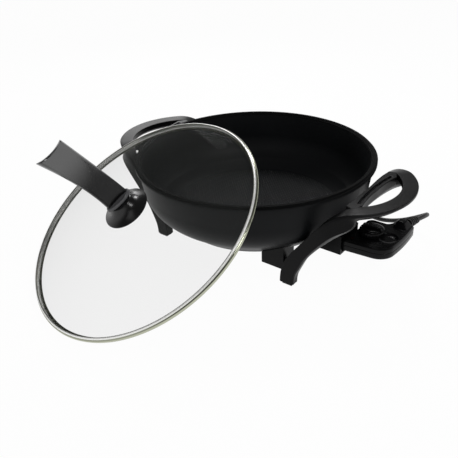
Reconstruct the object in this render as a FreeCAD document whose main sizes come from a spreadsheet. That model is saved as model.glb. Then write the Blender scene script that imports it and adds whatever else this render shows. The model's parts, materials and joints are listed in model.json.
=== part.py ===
"""Electric skillet: cast pan, two handle-and-leg mouldings, plug-in heat control and leaning glass lid.

Millimetres, +Z up. The origin is the middle of the footprint, on the table.
The pan's own axis stands at (pan_x, pan_y); the control plugs in along +X.
"""
import FreeCAD, Part
import math
import os
import types

import Sketcher
from FreeCAD import Placement, Rotation, Vector

SIZES = {
    # The pan, about its own axis
    "pan_x": 0.0,
    "pan_y": 79.14,
    "rim_radius": 165.0,
    "rim_height": 130.0,
    "lip_depth": 6.0,
    "wall_top_radius": 161.0,
    "bowl_radius": 157.0,
    "bowl_height": 95.0,
    "heel_radius": 138.0,
    "heel_height": 58.5,
    "base_ring_radius": 108.5,
    "base_ring_width": 5.5,
    "base_ring_height": 35.5,
    "floor_height": 48.0,
    "floor_radius": 119.0,
    "floor_thickness": 5.0,
    "wall": 4.2,
    # The cast-in heater and its socket
    "heater_radius": 80.0,
    "heater_tube": 3.2,
    "socket_height": 39.0,
    "pin_spacing": 14.0,
    "pin_radius": 2.25,
    "socket_front": 151.0,
    "socket_half_width": 23.0,
    "socket_low": 28.0,
    "socket_high": 55.0,
    # The handle mouldings
    "grip_centre": 137.0,
    "grip_radius": 91.3,
    "grip_flare": 12.0,
    "grip_edge": 4.5,
    "grip_top": 122.5,
    "grip_thickness": 12.0,
    "grip_half_width": 76.0,
    "grip_bar": 19.5,
    "grip_pan_side": 169.5,
    "grip_hole_near": 183.5,
    "leg_outside": 86.0,
    "leg_thickness": 14.0,
    "foot_x": 108.0,
    "pad_height": 3.0,
    "lug_x": 79.0,
    "lug_y": 70.0,
    "lug_radius": 7.0,
    # The heat control
    "control_back": 155.0,
    "control_front": 213.0,
    "control_low": 35.0,
    "control_high": 52.0,
    "control_near": 22.0,
    "control_far": 64.0,
    "control_waist": 47.0,
    "shell": 2.2,
    "dial_x": 176.0,
    "dial_y": 12.0,
    "dial_radius": 16.5,
    "dial_height": 12.0,
    "cord_diameter": 6.5,
    "relief_length": 22.0,
    "coil_radius": 42.0,
    "coil_pitch": 8.2,
    "coil_layer": 8.0,
    # The lid, about its own axis; height 0 is the middle of its steel rim
    "lid_radius": 163.0,
    "lid_x": -46.3,
    "lid_y": -181.7,
    "lid_height": 88.12,
    "glass": 4.0,
    "dome": 28.7,
    "knob_radius": 30.0,
    "neck_height": 45.0,
    "handle_length": 112.0,
    "handle_half_width": 17.5,
    "lid_tilt": 32.1,
    "lid_azimuth": -105.9,
}


class Size:
    """A length that knows its value and the sheet expression it comes from."""

    def __init__(self, value, text):
        self.value = value
        self.text = text

    def __add__(self, other):
        other = size(other)
        return Size(self.value + other.value, f"({self.text} + {other.text})")

    def __sub__(self, other):
        other = size(other)
        return Size(self.value - other.value, f"({self.text} - {other.text})")

    def __mul__(self, other):
        other = size(other)
        return Size(self.value * other.value, f"({self.text} * {other.text})")

    def __truediv__(self, other):
        other = size(other)
        return Size(self.value / other.value, f"({self.text} / {other.text})")

    def __neg__(self):
        return Size(-self.value, f"(0 - {self.text})")

    __radd__ = __add__
    __rmul__ = __mul__

    def __rsub__(self, other):
        return size(other) - self


def size(number):
    """A plain number as a Size; a Size stays as it is."""
    return number if isinstance(number, Size) else Size(float(number), f"{float(number)!r}")


def sheet():
    """Write the driving dimensions to the sheet, one alias each."""
    cells = doc.addObject("Spreadsheet::Sheet", "Sizes")
    for row, (alias, value) in enumerate(SIZES.items(), start=1):
        cells.set(f"A{row}", alias)
        cells.set(f"B{row}", f"{value}")
        cells.setAlias(f"B{row}", alias)
    doc.recompute()
    return types.SimpleNamespace(**{k: Size(v, f"Sizes.{k}") for k, v in SIZES.items()})


doc = FreeCAD.newDocument("electric_skillet")
S = sheet()
NODES = []


def bind(thing, prop, amount):
    """Bind a property to a sheet expression."""
    thing.setExpression(prop, size(amount).text)


def place(thing, x=0, y=0, z=0, rotation=None):
    """Give an object its place, bound to the sheet."""
    if rotation is not None:
        thing.Placement = Placement(Vector(), rotation)
    for axis, amount in zip("xyz", (x, y, z)):
        bind(thing, f"Placement.Base.{axis}", amount)
    return thing


def name_node(thing, node):
    """Label a finished sub-part and remember it for the export."""
    thing.Label = node
    NODES.append((node, thing))
    return thing


def on_pan(thing, node, turn=0):
    """Finish a sub-part that is drawn about the pan's axis."""
    thing = group(thing) if thing.ExpressionEngine else thing
    place(thing, S.pan_x, S.pan_y, 0, Rotation(Vector(0, 0, 1), turn))
    return name_node(thing, node)


TURNS = {
    "X": Rotation(Vector(0, 1, 0), 90),
    "Y": Rotation(Vector(1, 0, 0), -90),
    "Z": Rotation(),
}


def box(x, y, z):
    """A block between three pairs of limits."""
    block = doc.addObject("Part::Box", "Block")
    for prop, (low, high) in zip(("Length", "Width", "Height"), (x, y, z)):
        bind(block, prop, size(high) - low)
    return place(block, x[0], y[0], z[0])


def rod(radius, length, at, along="Z"):
    """A cylinder from a point, along an axis."""
    round_bar = doc.addObject("Part::Cylinder", "Rod")
    bind(round_bar, "Radius", radius)
    bind(round_bar, "Height", length)
    return place(round_bar, *at, TURNS[along])


def taper(radius, end_radius, length, at, along="Z"):
    """A cone from a point, along an axis."""
    cone = doc.addObject("Part::Cone", "Taper")
    bind(cone, "Radius1", radius)
    bind(cone, "Radius2", end_radius)
    bind(cone, "Height", length)
    return place(cone, *at, TURNS[along])


def ring(radius, tube, height):
    """A full torus about the pan's axis."""
    torus = doc.addObject("Part::Torus", "Ring")
    bind(torus, "Radius1", radius)
    bind(torus, "Radius2", tube)
    return place(torus, 0, 0, height)


def fuse(*pieces):
    """Join pieces into one solid."""
    joined = doc.addObject("Part::MultiFuse", "Fuse")
    joined.Shapes = list(pieces)
    joined.Refine = True
    return joined


def cut(base, *tools):
    """Take tools out of a base."""
    rest = doc.addObject("Part::Cut", "Cut")
    rest.Base = base
    rest.Tool = tools[0] if len(tools) == 1 else fuse(*tools)
    rest.Refine = True
    return rest


def common(*pieces):
    """Keep what all pieces share."""
    shared = doc.addObject("Part::MultiCommon", "Common")
    shared.Shapes = list(pieces)
    return shared


def group(*pieces):
    """Separate solids of one node."""
    together = doc.addObject("Part::Compound", "Group")
    together.Links = list(pieces)
    return together


def rounded(base, radius, wanted):
    """Fillet the edges of a base whose middle the test picks."""
    doc.recompute()
    edge_numbers = [i for i, edge in enumerate(base.Shape.Edges, start=1) if wanted(edge)]
    soft = doc.addObject("Part::Fillet", "Fillet")
    soft.Base = base
    soft.Edges = [(i, radius, radius) for i in edge_numbers]
    return soft


def draw(sketch, start, steps):
    """Draw a closed outline: lines, or arcs that bulge to the left of their chord.

    Each corner is held by its two distances from the origin, which are sheet expressions.
    """
    corners = [start] + [step[:2] for step in steps]
    points = [Vector(size(x).value, size(y).value, 0) for x, y in corners]
    for index, step in enumerate(steps):
        first, last = points[index], points[index + 1]
        bulge = step[2] if len(step) > 2 else 0
        if not bulge:
            sketch.addGeometry(Part.LineSegment(first, last), False)
            continue
        chord = last - first
        left = Vector(-chord.y, chord.x, 0).normalize()
        sketch.addGeometry(Part.Arc(first, (first + last) * 0.5 + left * bulge, last), False)
    count = len(steps)
    ends = [arc_ends(sketch, index, points[index]) for index in range(count)]
    for index in range(count):
        following = (index + 1) % count
        sketch.addConstraint(
            Sketcher.Constraint("Coincident", index, ends[index][1], following, ends[following][0])
        )
    for index, (x, y) in enumerate(corners[:count]):
        for kind, amount in (("DistanceX", size(x)), ("DistanceY", size(y))):
            if abs(amount.value) < 1e-9:
                axis = -2 if kind == "DistanceX" else -1
                hold = Sketcher.Constraint("PointOnObject", index, ends[index][0], axis)
                sketch.addConstraint(hold)
                continue
            hold = Sketcher.Constraint(kind, -1, 1, index, ends[index][0], amount.value)
            number = sketch.addConstraint(hold)
            sketch.setExpression(f"Constraints[{number}]", amount.text)
        if len(steps[index]) > 2 and steps[index][2]:
            radius = sketch.Geometry[index].Radius
            sketch.addConstraint(Sketcher.Constraint("Radius", index, radius))


def arc_ends(sketch, index, first):
    """The point numbers where an edge of the outline starts and ends."""
    starts_there = sketch.getPoint(index, 1).distanceToPoint(first) < 1e-6
    return (1, 2) if starts_there else (2, 1)


def body_sketch(body, role):
    """A new sketch on one of a body's own origin planes."""
    plane = next(f for f in body.Origin.OriginFeatures if f.Role == role)
    sketch = body.newObject("Sketcher::SketchObject", "Outline")
    sketch.AttachmentSupport = [(plane, "")]
    sketch.MapMode = "FlatFace"
    return sketch


def turned(start, steps):
    """A body turned about Z from an outline of radius and height."""
    body = doc.addObject("PartDesign::Body", "Body")
    sketch = body_sketch(body, "XZ_Plane")
    draw(sketch, start, steps)
    turn = body.newObject("PartDesign::Revolution", "Turn")
    turn.Profile = sketch
    turn.ReferenceAxis = (sketch, ["V_Axis"])
    turn.Angle = 360
    return body


PLANES = {
    "XY": (Rotation(), Vector(0, 0, 1)),
    "XZ": (Rotation(Vector(1, 0, 0), 90), Vector(0, 1, 0)),
    "YZ": (Rotation(Vector(1, 1, 1), 120), Vector(1, 0, 0)),
}


def slab(start, steps, low, high, plane="XY"):
    """An outline on a plane, pushed out between two distances from that plane."""
    turn, outwards = PLANES[plane]
    sketch = doc.addObject("Sketcher::SketchObject", "Outline")
    draw(sketch, start, steps)
    sketch.Placement = Placement(Vector(), turn)
    pushed = doc.addObject("Part::Extrusion", "Slab")
    pushed.Base = sketch
    pushed.DirMode = "Custom"
    pushed.Dir = outwards
    pushed.Solid = True
    bind(pushed, "LengthFwd", size(high) - low)
    return place(pushed, *[size(low) * part for part in outwards])


def pan_outside(gap):
    """The pan's outer outline from its underside to its lip, grown by a gap."""
    return [
        (S.base_ring_radius + gap, S.base_ring_height - gap),
        (S.base_ring_radius + 3.5 + gap, S.base_ring_height + 3.5 - gap * 0.5),
        (S.heel_radius + gap, S.heel_height - gap),
        (S.bowl_radius + gap, S.bowl_height - gap * 0.3, -4.5),
        (S.wall_top_radius + gap, S.rim_height - S.lip_depth - 1 - gap),
        (S.rim_radius + gap, S.rim_height - S.lip_depth - gap),
    ]


def pan_envelope(gap):
    """The space that the pan fills, for cutting its neighbours clear of it."""
    low = S.base_ring_height - gap
    steps = pan_outside(gap) + [(S.rim_radius + gap, S.rim_height + 1), (0, S.rim_height + 1), (0, low)]
    return turned((0, low), steps)


SEAT_GAP = 0.6
# The cord's corner points on its way from the boot to the floor, about the pan
LEAD = [
    (206.2, 87.0, 47.4),
    (209.9, 105.0, 45.8),
    (207.8, 122.8, 39.4),
    (198.8, 136.6, 28.8),
    (183.2, 142.6, 16.8),
    (164.6, 140.4, 7.6),
    (144.0, 134.0, 3.6),
    (125.0, 133.0, 3.4),
    (107.0, 138.5, 3.4),
    (91.5, 149.0, 3.4),
    (75.5, 158.5, 3.4),
    (57.5, 167.0, 3.4),
    (37.5, 176.5, 3.4),
    (14.5, 184.5, 3.4),
    (-9.0, 189.0, 3.4),
    (-32.0, 190.0, 3.4),
]


def pan():
    """The cast bowl: lip, steep wall, sloping heel, flat floor, base ring and lugs."""
    under = S.floor_height - S.floor_thickness
    ring_inside = S.base_ring_radius - S.base_ring_width
    top = S.rim_height
    outside = [(ring_inside, under), (ring_inside, S.base_ring_height)] + pan_outside(0)
    inside = [
        (S.rim_radius, top - 2.5),
        (S.rim_radius - 2.5, top, 0.7),
        (S.wall_top_radius - S.wall + 2, top),
        (S.wall_top_radius - S.wall, top - 2.5, 0.5),
        (S.bowl_radius - S.wall, S.bowl_height + 1),
        (S.heel_radius - S.wall + 1, S.heel_height + 3.5, 4.3),
        (S.floor_radius, S.floor_height, 0.8),
        (0, S.floor_height),
        (0, under),
    ]
    bowl = turned((0, under), outside + inside)
    seat = cut(
        rod(S.heater_radius + 7, 4, (0, 0, under - 3.5)),
        rod(S.heater_radius - 7, 6, (0, 0, under - 4.5)),
    )
    lugs = [
        rod(S.lug_radius, 8.5, (S.lug_x * side_x, S.lug_y * side_y, S.base_ring_height - SEAT_GAP))
        for side_x in (-1, 1)
        for side_y in (-1, 1)
    ]
    socket_lugs = [
        rod(4.6, 8.5, (93, 22 * side, S.base_ring_height - SEAT_GAP)) for side in (-1, 1)
    ]
    probe_saddle = box((60, 99.5), (-6, 6), (34.6, under + 0.5))
    whole = fuse(bowl, seat, probe_saddle, *lugs, *socket_lugs)
    screw_holes = [
        rod(2.05, 7.5, (S.lug_x * side_x, S.lug_y * side_y, S.base_ring_height - 1))
        for side_x in (-1, 1)
        for side_y in (-1, 1)
    ]
    socket_holes = [rod(1.55, 7, (93, 22 * side, 34)) for side in (-1, 1)]
    heater_groove = ring(S.heater_radius, S.heater_tube + 0.05, S.socket_height)
    gate = box((101.5, 116.5), (-18.3, 18.3), (30, under))
    bore = rod(2.9, 48, (57, 0, S.socket_height), "X")
    heater_gaps = [
        box((66, end_x), sorted((near * side, far * side)), (30, under))
        for side in (-1, 1)
        for end_x, near, far in ((101, 6.05, 17.4), (88.2, 17.3, 25.0))
    ]
    holes = screw_holes + socket_holes + heater_gaps + [heater_groove, gate, bore]
    on_pan(cut(whole, *holes), "pan")


def heater():
    """The sheathed heating element: an open ring whose two ends turn out to the pins."""
    ring_radius = SIZES["heater_radius"]
    bend = 9.0
    spread = SIZES["pin_spacing"]
    bend_y = spread + bend
    bend_x = math.sqrt((ring_radius + bend) ** 2 - bend_y**2)
    centre = Vector(bend_x, bend_y, 0)
    touch = centre * (ring_radius / (ring_radius + bend))
    leave = Vector(bend_x, spread, 0)
    outward = (touch + leave) * 0.5 - centre
    middle = centre + outward.normalize() * bend
    flip = lambda p: Vector(p.x, -p.y, p.z)
    end = Vector(106, spread, 0)
    edges = [
        Part.LineSegment(end, leave),
        Part.Arc(leave, middle, touch),
        Part.Arc(touch, Vector(-ring_radius, 0, 0), flip(touch)),
        Part.Arc(flip(touch), flip(middle), flip(leave)),
        Part.LineSegment(flip(leave), flip(end)),
    ]
    path = Part.Wire([edge.toShape() for edge in edges])
    section = Part.Wire([Part.Circle(end, Vector(1, 0, 0), SIZES["heater_tube"]).toShape()])
    element = doc.addObject("Part::Feature", "Heater")
    element.Shape = path.makePipeShell([section], True, False)
    place(element, S.pan_x, S.pan_y, S.socket_height)
    name_node(element, "heating_element")


def terminals():
    """Two contact pins and the ceramic beads that carry them at the element's ends."""
    height = S.socket_height
    pins = [
        rod(S.pin_radius, 27, (109, S.pin_spacing * side, height), "X") for side in (-1, 1)
    ]
    on_pan(group(*pins), "terminal_pins")
    beads = []
    for side in (-1, 1):
        at = (106.05, S.pin_spacing * side, height)
        bead = rod(3.9, 7, at, "X")
        beads.append(cut(bead, rod(S.pin_radius + 0.05, 6, (109, *at[1:]), "X")))
    on_pan(group(*beads), "pin_insulators")


def socket_shroud():
    """The hood that guards the pins, screwed up under the base."""
    wide = S.socket_half_width
    outer = box((104, S.socket_front), (-wide, wide), (S.socket_low, S.socket_high))
    skin = 2.5
    cavity = box(
        (119, S.socket_front + 1), (skin - wide, wide - skin), (S.socket_low + skin, S.socket_high - skin)
    )
    rear = box((103, 116.5), (skin - wide, wide - skin), (S.socket_low + skin, S.socket_high - skin))
    flange = box((87, 106), (-28, 28), (31.8, S.base_ring_height - SEAT_GAP))
    relief = box((86, 100), (-16, 16), (31, 35))
    screw_holes = [rod(1.6, 6, (93, 22 * side, 30)) for side in (-1, 1)]
    pin_holes = [
        rod(3.2, 6, (115, S.pin_spacing * side, S.socket_height), "X") for side in (-1, 1)
    ]
    probe_hole = rod(3.4, 6, (115, 0, S.socket_height), "X")
    tools = [cavity, rear, relief, pan_envelope(0.6), probe_hole] + screw_holes + pin_holes
    on_pan(cut(fuse(outer, flange), *tools), "socket_shroud")
    screws = [
        fuse(rod(3.0, 1.8, (93, 22 * side, 30)), rod(1.5, 8.5, (93, 22 * side, 31.5)))
        for side in (-1, 1)
    ]
    on_pan(group(*screws), "socket_screws")


LEG_SECTIONS = [
    (2.8, [(99, 1), (117.5, 1), (118.5, 0.97), (118.5, 0.84), (99, 0.84)]),
    (16.0, [(99.5, 1), (118.5, 1), (120, 0.97), (120, 0.84), (99.5, 0.84)]),
    (29.0, [(102.5, 1), (123.5, 1), (126, 0.96), (126, 0.84), (102.5, 0.84)]),
    (45.0, [(110, 1), (130, 1), (133, 0.95), (132, 0.83), (110, 0.84)]),
    (62.0, [(123, 1), (142, 1), (146.5, 0.93), (145, 0.8), (123, 0.84)]),
    (80.0, [(137, 1), (155.5, 1), (161.5, 0.92), (159, 0.74), (137, 0.84)]),
    (97.0, [(149, 1), (166, 1), (180.5, 0.77), (172, 0.62), (149, 0.86)]),
    (110.0, [(161, 0.98), (171, 0.98), (195, 0.64), (186, 0.52), (161, 0.84)]),
    (121.0, [(172, 0.82), (182, 0.87), (202, 0.66), (192, 0.56), (172, 0.7)]),
]


def leg(end):
    """A raked leg that turns from the foot's side towards the grip's bow as it rises."""
    out = SIZES["leg_outside"] * end
    wires = []
    for height, corners in LEG_SECTIONS:
        points = [Vector(x, out * share, height) for x, share in corners]
        wires.append(Part.makePolygon(points + points[:1]))
    raked = doc.addObject("Part::Feature", "Leg")
    raked.Shape = Part.makeLoft(wires, True, True)
    return raked


def moulding(side, turn):
    """One handle-and-leg moulding: bowed grip, two raked legs and the bosses under the base."""
    low = S.grip_top - S.grip_thickness
    centre, half, near = S.grip_centre, S.grip_half_width, S.grip_pan_side
    plan = slab(
        (near, -58),
        [(183, -half), (230, -half), (230, half), (183, half), (near, 58), (near, -58)],
        low,
        S.grip_top,
    )
    bow = fuse(
        taper(S.grip_radius - S.grip_flare, S.grip_radius, S.grip_thickness - S.grip_edge, (centre, 0, low)),
        rod(S.grip_radius, S.grip_edge, (centre, 0, S.grip_top - S.grip_edge)),
    )
    plate = rounded(common(plan, bow), 2.5, lambda e: is_top_edge(e, SIZES["grip_top"], 200))
    under_tie = box((near - 1, S.grip_hole_near + 1), (-50, 50), (low - 1, low + 3))
    plate = cut(plate, under_tie)
    hole_limits = box((S.grip_hole_near, 230), (-60, 60), (low - 1, S.grip_top + 1))
    hole = common(hole_limits, rod(S.grip_radius - S.grip_bar, 30, (centre, 0, low - 2)))
    hole = rounded(hole, 5.0, lambda e: is_upright(e, 30, 60))
    out = S.leg_outside
    bosses = [
        box((S.lug_x - 8.5, S.foot_x - 4), limits, (21.5, S.base_ring_height - SEAT_GAP))
        for limits in ((-out, -S.lug_y + 9), (S.lug_y - 9, out))
    ]
    webs = [
        box((low_x, S.foot_x - 4), limits, (21.5, 62))
        for low_x, inner in ((S.lug_x - 8.5, S.lug_y + 8), (S.lug_x + 8.5, S.lug_y - 9))
        for limits in ((-out, -inner), (inner, out))
    ]
    finger_room = common(
        box((S.grip_hole_near + 4, 230), (-60, 60), (low - 1, low + 4)),
        taper(S.grip_radius - S.grip_bar + 5, S.grip_radius - S.grip_bar, 5, (centre, 0, low - 1)),
    )
    whole = fuse(cut(plate, hole, finger_room), leg(-1), leg(1), *bosses, *webs)
    wells = []
    for end in (-1, 1):
        at_y = S.lug_y * end
        wells.append(rod(5.6, 11, (S.lug_x, at_y, 18)))
        wells.append(rod(2.15, 12, (S.lug_x, at_y, 27)))
        wells.append(box((S.foot_x - 6, S.foot_x + 8), pad_limits(end), (1, 5)))
    on_pan(cut(whole, pan_envelope(SEAT_GAP), *wells), f"{side}_moulding", turn)


def is_upright(edge, near, far):
    """A vertical edge whose distance from the middle plane lies between two limits."""
    bounds = edge.BoundBox
    return bounds.ZLength > 10 and bounds.YLength < 0.01 and near < abs(bounds.YMin) < far


def is_top_edge(edge, height, beyond):
    """An edge that lies at a height, past a distance from the pan's axis."""
    bounds = edge.BoundBox
    flat = abs(bounds.ZMin - height) < 0.01 and abs(bounds.ZMax - height) < 0.01
    return flat and bounds.XMax > beyond


def pad_limits(end):
    """The two Y limits of a foot pad, on one side."""
    middle = (S.leg_outside - S.leg_thickness * 0.5) * end
    return (middle - 5, middle + 5)


def foot_pads_and_screws():
    """Four rubber pads under the legs, four screws with washers in the bosses."""
    pads, screws, washers = [], [], []
    for side in (-1, 1):
        for end in (-1, 1):
            middle = S.foot_x * side
            near, far = (-6, 8) if side > 0 else (-8, 6)
            pads.append(box((middle + near, middle + far), pad_limits(end), (0, 5)))
            x, y = S.lug_x * side, S.lug_y * end
            screws.append(fuse(rod(4.0, 3.2, (x, y, 24.8)), rod(2.0, 13.5, (x, y, 27.8))))
            washers.append(cut(rod(5.4, 1.0, (x, y, 28)), rod(2.1, 2, (x, y, 27.5))))
    on_pan(group(*pads), "foot_pads")
    on_pan(group(*screws), "moulding_screws")
    on_pan(group(*washers), "moulding_washers")


def lid_lean():
    """Where the lid leans: its edge on the table, its glass on the pan's rim."""
    turn = Rotation(Vector(0, 0, 1), SIZES["lid_azimuth"] + 90)
    turn = turn * Rotation(Vector(1, 0, 0), SIZES["lid_tilt"])
    x = SIZES["pan_x"] + SIZES["lid_x"]
    y = SIZES["pan_y"] + SIZES["lid_y"]
    return Placement(Vector(x, y, SIZES["lid_height"]), turn)


def on_lid(thing, node):
    """Finish a sub-part that is drawn about the lid's axis."""
    doc.recompute()
    thing.Placement = lid_lean()
    return name_node(thing, node)


def lid():
    """The glass dome in its steel rim, with the stand-up handle on a flared base."""
    edge = S.lid_radius - 2.6
    dome, glass = S.dome, S.glass
    low = -1.4
    run = SIZES["lid_radius"] - 2.6 - 4
    sagitta = SIZES["dome"] - SIZES["glass"] - low
    sphere = ((run + 4) ** 2 + sagitta**2) / (2 * sagitta)
    bow = (run**2 + sagitta**2) / (8 * sphere)
    glass_outline = [
        (edge, glass + low),
        (4, dome, -bow),
        (4, dome - glass),
        (edge, low, bow),
    ]
    on_lid(turned((edge, low), glass_outline), "lid_glass")
    outside = S.lid_radius
    rim_outline = [
        (outside - 4.6, -3),
        (outside, 0.4, -1.6),
        (outside, 1.4),
        (outside - 3.4, 4.6, -1.3),
        (outside - 4.7, 4.7),
        (outside - 4.7, 3.95),
        (outside - 3.2, 3.8),
        (outside - 2.55, 2.7),
        (outside - 2.55, -1.5),
        (outside - 4.0, -2.2),
        (outside - 7.5, -2.3),
        (outside - 7.5, -3),
    ]
    on_lid(turned((outside - 7.5, -3), rim_outline), "lid_rim")
    gasket = cut(rod(12, 0.85, (0, 0, dome + 0.02)), rod(2.8, 3, (0, 0, dome - 1)))
    on_lid(gasket, "knob_gasket")
    washer = cut(rod(9, 1.4, (0, 0, dome - glass - 1.5)), rod(2.8, 3, (0, 0, dome - glass - 2)))
    on_lid(washer, "lid_washer")
    screw = fuse(
        rod(5.2, 2.8, (0, 0, dome - glass - 4.3)),
        rod(2.4, 18, (0, 0, dome - glass - 2)),
    )
    on_lid(screw, "lid_screw")
    base_low = dome + 0.1
    flare = turned(
        (0, base_low),
        [
            (S.knob_radius - 1, base_low),
            (S.knob_radius, base_low + 1.6),
            (S.knob_radius - 13, base_low + 9, -3.6),
            (S.knob_radius - 16, S.neck_height),
            (0, S.neck_height),
            (0, base_low),
        ],
    )
    seat = rod(12.3, 0.9, (0, 0, base_low - 0.1))
    on_lid(cut(flare, seat, rod(2.45, 14, (0, 0, dome))), "knob_base")
    collar = doc.addObject("Part::Ellipse", "CollarOutline")
    collar_low = S.neck_height + 0.1
    bind(collar, "MajorRadius", S.knob_radius - 11)
    bind(collar, "MinorRadius", S.knob_radius - 21)
    place(collar, 0, 0, collar_low, Rotation(Vector(0, 0, 1), 90))
    band = doc.addObject("Part::Extrusion", "Collar")
    band.Base = collar
    band.DirMode = "Custom"
    band.Dir = Vector(0, 0, 1)
    band.LengthFwd = 4
    band.Solid = True
    socket = box((-3.9, 2.7), (-17, 15.8), (S.neck_height - 1, S.neck_height + 6))
    on_lid(cut(band, socket), "knob_collar")
    on_lid(paddle(), "lid_handle")


def paddle():
    """The tall dished handle: one edge straight, one flaring, with a concave fish tail."""
    foot = SIZES["neck_height"] + 0.1
    length = SIZES["handle_length"]
    width = SIZES["handle_half_width"]
    sections = []
    for share in (0.0, 0.3, 0.65, 1.0):
        low = -15.5 - 19.3 * share**2
        high = 15.5 - (17.0 - width + 15.5) * share
        dish = 1.0 + 2.2 * share
        thick = 2.4
        y = (low + high) / 2
        z = foot + length * share
        front = Part.Arc(
            Vector(thick, low, z), Vector(thick - dish, y, z), Vector(thick, high, z)
        )
        back = Part.Arc(
            Vector(-thick, high, z), Vector(-thick - dish, y, z), Vector(-thick, low, z)
        )
        sides = [
            Part.LineSegment(Vector(thick, high, z), Vector(-thick, high, z)),
            Part.LineSegment(Vector(-thick, low, z), Vector(thick, low, z)),
        ]
        sections.append(Part.Wire([e.toShape() for e in (front, sides[0], back, sides[1])]))
    blade = Part.makeLoft(sections, True, False)
    tail = Part.makeCylinder(30, 40, Vector(-20, -17, foot + length + 22), Vector(1, 0, 0))
    handle = doc.addObject("Part::Feature", "Paddle")
    handle.Shape = blade.cut(tail)
    return handle


def control_outline(inset):
    """The control's plan outline, drawn inwards by a wall."""
    back, front = S.control_back + inset, S.control_front - inset
    near, far = -S.control_near + inset, S.control_far - inset
    waist = S.control_waist - inset
    start = (back, near)
    steps = [
        (S.control_front - 22, near + 3),
        (front, near + 25, -6.0),
        (front, far - 5, -1.5),
        (front - 5, far, -1.6),
        (S.control_front - 25 + inset, far),
        (S.control_front - 32, waist, 3.0),
        (back + 8, waist),
        (back, waist - 8, -2.0),
        (back, near),
    ]
    return start, steps


def hipped(*levels):
    """A block whose sides lean in, from one rectangle (height, x limits, y limits) to the next."""
    wires = []
    for height, left, right, near, far in levels:
        around = [(left, near), (right, near), (right, far), (left, far), (left, near)]
        wires.append(Part.makePolygon([Vector(x, y, height) for x, y in around]))
    block = doc.addObject("Part::Feature", "Ridge")
    block.Shape = Part.makeLoft(wires, True, True)
    return block


def control_case():
    """The two shells of the heat control, split at mid height."""
    start, steps = control_outline(0)
    inner_start, inner_steps = control_outline(2.2)
    low, high = S.control_low, S.control_high
    split = low + 9
    wall = S.shell
    lower = cut(
        slab(start, steps, low, split),
        slab(inner_start, inner_steps, low + wall, split + 1),
    )
    upper = cut(
        slab(start, steps, split + 0.05, high),
        slab(inner_start, inner_steps, split - 1, high - wall),
    )
    screws_at = [(S.control_back + 9, 36), (S.control_front - 12, -3), (S.control_front - 14, 40)]
    feet = [cut(rod(4.4, 6, (x, y, low + 0.5)), rod(1.7, 9, (x, y, low - 1))) for x, y in screws_at]
    wells = [rod(3.0, 2.4, (x, y, low - 0.2)) for x, y in screws_at]
    shafts = [rod(1.7, 9, (x, y, low - 1)) for x, y in screws_at]
    openings = control_openings()
    on_pan(cut(fuse(lower, *feet), *wells, *shafts, *openings), "control_lower_shell")
    posts = [rod(3.6, high - low - 7.5, (x, y, low + 6.6)) for x, y in screws_at]
    pilots = [rod(1.45, 9, (x, y, low + 6)) for x, y in screws_at]
    ridge = hipped((51, 189.5, 211.5, 40, 62.5), (59.4, 193.5, 203.5, 48.5, 58))
    spindle_hole = rod(3.0, 5, (S.dial_x, S.dial_y, high - 4))
    dish = rod(13.5, 3, (S.control_front - 15.5, 14, high - 1.2))
    lens_hole = rod(2.55, 5, (S.control_back + 6, -13, high - 4))
    tools = [spindle_hole, dish, lens_hole] + pilots + openings
    on_pan(cut(fuse(upper, ridge, *posts), *tools), "control_upper_shell")
    screws = [
        fuse(rod(2.8, 1.9, (x, y, low + 0.2)), rod(1.4, 11, (x, y, low + 1.8)))
        for x, y in screws_at
    ]
    on_pan(group(*screws), "control_screws")


def control_openings():
    """The holes in the case for the probe, the two contacts and the strain relief."""
    probe = rod(2.6, 12, (S.control_back - 4, 0, S.socket_height), "X")
    contacts = [
        rod(1.6, 12, (S.control_back - 4, S.pin_spacing * side, S.socket_height), "X")
        for side in (-1, 1)
    ]
    grommet = rod(4.25, SIZES["relief_length"] + 12, LEAD[0])
    place(grommet, *LEAD[0], boot_turn())
    turn = boot_turn()
    at = Vector(*LEAD[0]) + turn.multVec(Vector(0, 0, SIZES["relief_length"] + 5.0))
    pocket = rod(5.6, 5, at)
    place(pocket, *at, turn)
    return [probe, grommet, pocket] + contacts


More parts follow.
